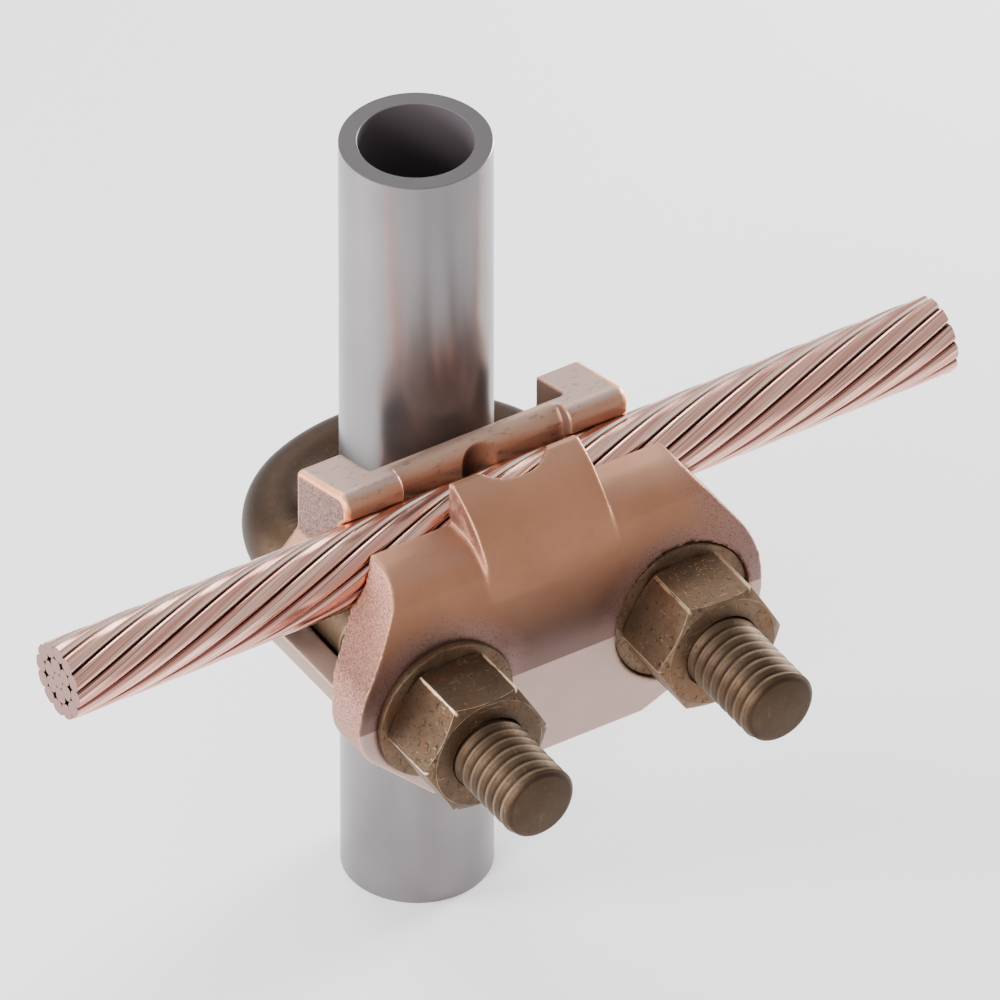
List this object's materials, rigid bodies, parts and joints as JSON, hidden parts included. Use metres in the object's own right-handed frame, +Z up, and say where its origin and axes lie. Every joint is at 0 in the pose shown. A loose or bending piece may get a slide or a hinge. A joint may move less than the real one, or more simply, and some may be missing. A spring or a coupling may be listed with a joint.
{
  "type": "mechanical grounding connector",
  "caption": "U-bolt grounding clamp holding a bare stranded conductor crosswise on a vertical pipe, with cast saddle, cast cap, washers and hex nuts.",
  "frame": {"origin": "on the pipe's axis, at the middle of the length of pipe shown", "axes": "+Z up along the pipe, +X along the conductor, -Y to the front, where the legs of the U-bolt and the nuts point"},
  "size_m": [0.1666, 0.0991, 0.1482],
  "materials": {
    "pipe_steel": "satin galvanised grey",
    "u_bolt_bronze": "dark silicon bronze, slightly worn",
    "fastener_bronze": "dark silicon bronze, scuffed",
    "saddle_bronze": "cast copper alloy, satin",
    "cap_bronze": "cast copper alloy, satin, worn edges",
    "conductor_copper": "bright drawn copper"
  },
  "bodies": {
    "frame": {"u_bolt": "u_bolt_bronze", "ground_pipe": "pipe_steel", "pipe_saddle": "saddle_bronze", "core_wire": "conductor_copper", "inner_wire_1": "conductor_copper", "inner_wire_2": "conductor_copper", "inner_wire_3": "conductor_copper", "inner_wire_4": "conductor_copper", "inner_wire_5": "conductor_copper", "inner_wire_6": "conductor_copper", "outer_wire_1": "conductor_copper", "outer_wire_2": "conductor_copper", "outer_wire_3": "conductor_copper", "outer_wire_4": "conductor_copper", "outer_wire_5": "conductor_copper", "outer_wire_6": "conductor_copper", "outer_wire_7": "conductor_copper", "outer_wire_8": "conductor_copper", "outer_wire_9": "conductor_copper", "outer_wire_10": "conductor_copper", "outer_wire_11": "conductor_copper", "outer_wire_12": "conductor_copper"},
    "cap": {"clamp_cap": "cap_bronze", "left_washer": "fastener_bronze", "right_washer": "fastener_bronze"},
    "left_nut": {"left_nut": "fastener_bronze"},
    "right_nut": {"right_nut": "fastener_bronze"}
  },
  "joints": [
    {"name": "cap_travel", "type": "slide", "parent": "frame", "child": "cap", "axis": [0, -1, 0], "range_m": [0, 0.008]},
    {"name": "left_nut_turn", "type": "hinge", "parent": "cap", "child": "left_nut", "pos_m": [-0.0227, -0.0457, -0.0024], "axis": [0, -1, 0], "range_deg": [0, 1260]},
    {"name": "right_nut_turn", "type": "hinge", "parent": "cap", "child": "right_nut", "pos_m": [0.0227, -0.0439, -0.0024], "axis": [0, -1, 0], "range_deg": [0, 1260]}
  ],
  "couplings": [
    {"joint": "left_nut_turn", "follows": "cap_travel", "rad_per_m": 2731.8},
    {"joint": "right_nut_turn", "follows": "cap_travel", "rad_per_m": 2731.8}
  ]
}
